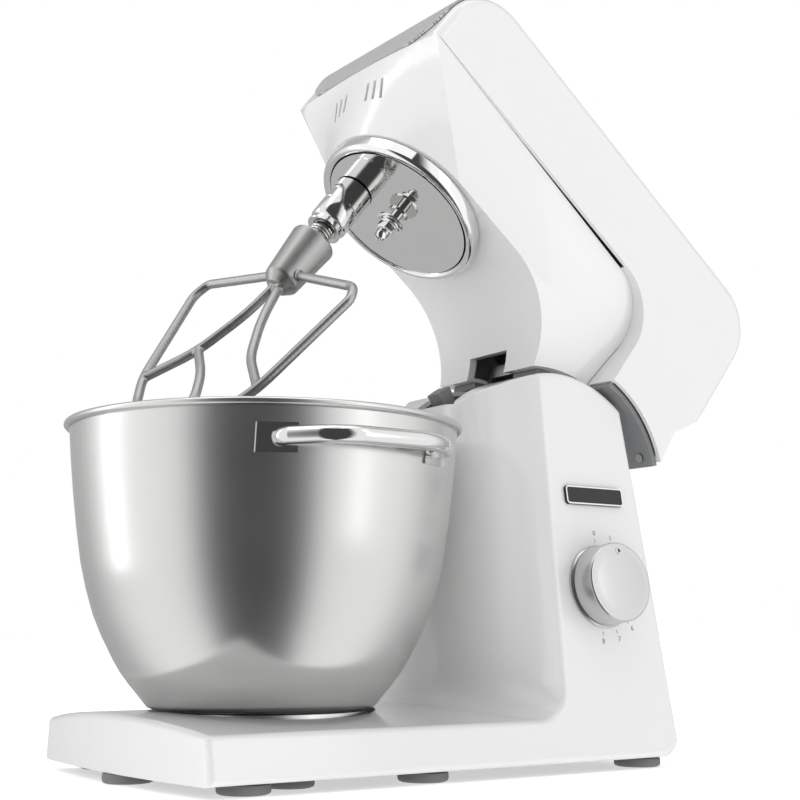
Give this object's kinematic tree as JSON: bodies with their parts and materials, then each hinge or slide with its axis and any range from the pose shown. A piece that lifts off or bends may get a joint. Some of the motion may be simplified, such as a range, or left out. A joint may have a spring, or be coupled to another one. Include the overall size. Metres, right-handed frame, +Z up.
{
  "type": "stand_mixer",
  "caption": "White tilt-head stand mixer with planetary drive, flat beater, deep brushed steel bowl with side handle and a silver speed knob",
  "frame": {"origin": "on the floor under the bowl's axis, at the underside of the rubber feet", "axes": "+Z up, -Y towards the bowl end, +X towards the speed knob side"},
  "size_m": [0.262, 0.4605, 0.4851],
  "materials": {
    "white_gloss": "glossy white moulded housing",
    "grille_grey": "silver-grey, finely dotted",
    "liner_grey": "mid-grey, satin",
    "dark_plastic": "dark grey, matte",
    "chrome": "bright plated",
    "polished_steel": "polished",
    "bowl_steel": "brushed stainless",
    "mill_steel": "plain machined",
    "cast_aluminium": "satin, cast and burnished",
    "satin_silver": "satin silver",
    "rubber_grey": "matte",
    "belt_rubber": "matte, toothed inside",
    "copper": "enamelled winding",
    "bronze": "sintered bush",
    "carbon": "carbon block",
    "gear_plastic": "natural moulded",
    "board_green": "circuit board",
    "badge_black": "black with a bright edge"
  },
  "bodies": {
    "base": {"base_housing": "white_gloss", "base_plate": "dark_plastic", "rubber_feet": "rubber_grey", "bowl_seat": "white_gloss", "knob_bezel": "satin_silver", "speed_switch": "dark_plastic", "badge_plaque": "badge_black", "control_board": "board_green", "board_components": "dark_plastic", "cord_gland": "belt_rubber", "button_spring": "mill_steel", "hinge_stand": "mill_steel", "hinge_bushes": "bronze", "hinge_pin": "mill_steel", "latch_tab": "liner_grey"},
    "head": {"head_upper_shell": "white_gloss", "head_lower_shell": "white_gloss", "front_grille": "grille_grey", "hinge_liner": "liner_grey", "liner_screws": "mill_steel", "chrome_ring": "chrome", "ring_gear": "mill_steel", "gearbox_frame": "cast_aluminium", "main_bearing": "polished_steel", "idler_bearing": "polished_steel", "drive_belt": "belt_rubber", "motor_field_stack": "mill_steel", "field_coils": "copper", "brushes": "carbon", "motor_end_lower": "cast_aluminium", "motor_end_upper": "cast_aluminium", "hinge_arms": "mill_steel"},
    "planetary": {"planetary_disc": "chrome", "carrier_arm": "mill_steel", "centre_nut": "chrome", "main_shaft": "polished_steel", "main_gear": "gear_plastic", "beater_shaft_bush": "bronze"},
    "beater_spindle": {"beater_shaft": "polished_steel", "planet_gear": "mill_steel", "shaft_spring": "polished_steel"},
    "beater": {"flat_beater": "cast_aluminium"},
    "idler": {"idler_pinion": "gear_plastic", "idler_shaft": "mill_steel", "belt_wheel": "gear_plastic"},
    "rotor": {"armature": "mill_steel", "commutator": "copper", "motor_shaft": "mill_steel", "motor_pulley": "mill_steel", "cooling_fan": "dark_plastic"},
    "bowl": {"bowl": "bowl_steel", "bowl_foot_ring": "bowl_steel", "bowl_handle": "polished_steel", "handle_plates": "polished_steel"},
    "knob": {"speed_knob": "satin_silver"},
    "button": {"release_button": "satin_silver"}
  },
  "joints": [
    {"name": "head_tilt", "type": "hinge", "parent": "base", "child": "head", "pos_m": [0, 0.175, 0.173], "axis": [1, 0, 0], "range_deg": [0, 38.7]},
    {"name": "planetary_turn", "type": "hinge", "parent": "head", "child": "planetary", "pos_m": [0, 0.09657, 0.355], "axis": [0, 0.6252, 0.7804], "continuous": true},
    {"name": "beater_spin", "type": "hinge", "parent": "planetary", "child": "beater_spindle", "pos_m": [-0.01845, 0.07522, 0.3721], "axis": [0, 0.6252, 0.7804], "continuous": true},
    {"name": "idler_turn", "type": "hinge", "parent": "head", "child": "idler", "pos_m": [0, 0.15685, 0.35027], "axis": [0, 0.6252, 0.7804], "continuous": true},
    {"name": "motor_turn", "type": "hinge", "parent": "head", "child": "rotor", "pos_m": [0, 0.22709, 0.294], "axis": [0, 0.6252, 0.7804], "continuous": true},
    {"name": "beater_pull", "type": "slide", "parent": "beater_spindle", "child": "beater", "axis": [0, -0.6252, -0.7804], "range_m": [0, 0.004]},
    {"name": "bowl_lift", "type": "slide", "parent": "base", "child": "bowl", "axis": [0, 0, 1], "range_m": [0, 0.004]},
    {"name": "speed_dial", "type": "hinge", "parent": "base", "child": "knob", "pos_m": [0.09188, 0.188, 0.11], "axis": [0.9882, 0, 0.1532], "range_deg": [-183, 0]},
    {"name": "release_press", "type": "slide", "parent": "base", "child": "button", "axis": [1, 0, 0], "range_m": [0, 0.004], "stiffness_N_per_m": 600, "springref_m": -0.002}
  ],
  "couplings": [
    {"joint": "beater_spin", "follows": "planetary_turn", "ratio": -3.75},
    {"joint": "idler_turn", "follows": "planetary_turn", "ratio": -4.7143},
    {"joint": "motor_turn", "follows": "planetary_turn", "ratio": -28.286}
  ]
}
